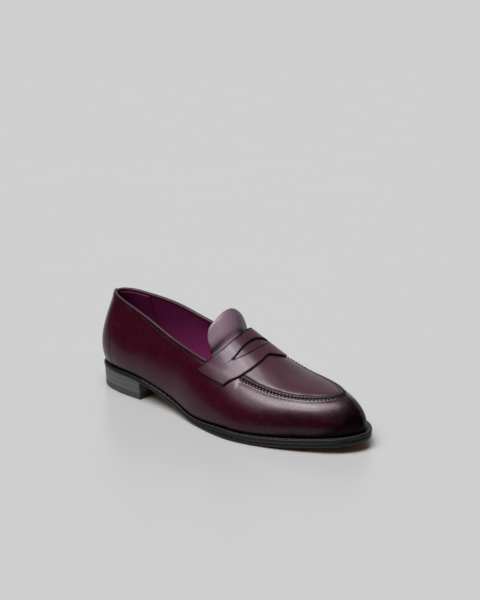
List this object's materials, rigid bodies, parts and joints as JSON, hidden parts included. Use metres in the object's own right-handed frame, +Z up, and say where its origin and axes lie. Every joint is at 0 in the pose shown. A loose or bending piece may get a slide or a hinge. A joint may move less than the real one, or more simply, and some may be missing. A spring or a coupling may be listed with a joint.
{
  "type": "penny loafer",
  "caption": "Leather penny loafer for the right foot: moccasin-seamed apron, slotted saddle strap, rounded tongue, welted leather sole and low stacked heel.",
  "frame": {"origin": "on the floor, under the middle of the shoe's outline", "axes": "+X from heel to toe, +Y to the inner side of the foot, +Z up from the floor"},
  "size_m": [0.3024, 0.1072, 0.0969],
  "materials": {
    "upper_leather": "polished calf, burgundy, darker at the toe and along the edges",
    "apron_leather": "polished calf, burgundy",
    "strap_leather": "polished calf, burgundy, black painted edges",
    "tongue_leather": "polished calf, burgundy",
    "lining_leather": "matte calf lining, plum",
    "binding_leather": "thin folded leather edge, plum",
    "stiffener_board": "stiffened cloth",
    "sock_leather": "matte calf, plum",
    "insole_leather": "raw leather",
    "cork": "granulated cork",
    "shank_steel": "spring steel strip",
    "welt_leather": "black edge ink, waxed",
    "sole_leather": "oak bark leather, black inked edge, brown underside",
    "heel_leather": "stacked leather, black edge ink",
    "heel_rubber": "black rubber",
    "seam_thread": "waxed black thread",
    "topline_thread": "fine dark burgundy thread",
    "welt_thread": "waxed dark thread",
    "tab_leather": "black leather tab"
  },
  "bodies": {
    "shoe": {"wall_lateral": "upper_leather", "wall_medial": "upper_leather", "back_counter": "upper_leather", "apron": "apron_leather", "saddle_strap": "strap_leather", "topline_binding": "binding_leather", "heel_lining": "lining_leather", "lining_lateral": "lining_leather", "lining_medial": "lining_leather", "vamp_lining": "lining_leather", "heel_stiffener": "stiffener_board", "toe_puff": "stiffener_board", "sock_liner": "sock_leather", "insole": "insole_leather", "cork_filler": "cork", "shank": "shank_steel", "welt": "welt_leather", "heel_rand": "welt_leather", "outsole": "sole_leather", "heel_seat_lift": "heel_leather", "heel_lift_upper": "heel_leather", "heel_lift_lower": "heel_leather", "top_piece": "heel_rubber", "toe_seam": "seam_thread", "back_tab": "tab_leather", "apron_stitches": "seam_thread", "strap_stitches": "seam_thread", "topline_stitches": "topline_thread", "welt_stitches": "welt_thread"},
    "tongue_flap": {"tongue": "tongue_leather", "tongue_lining": "lining_leather"}
  },
  "joints": [
    {"name": "tongue_bend", "type": "hinge", "parent": "shoe", "child": "tongue_flap", "pos_m": [0.0035, 0.00445, 0.0635], "axis": [0, 1, 0], "range_deg": [-16, 4], "stiffness_Nm_per_rad": 0.15}
  ]
}
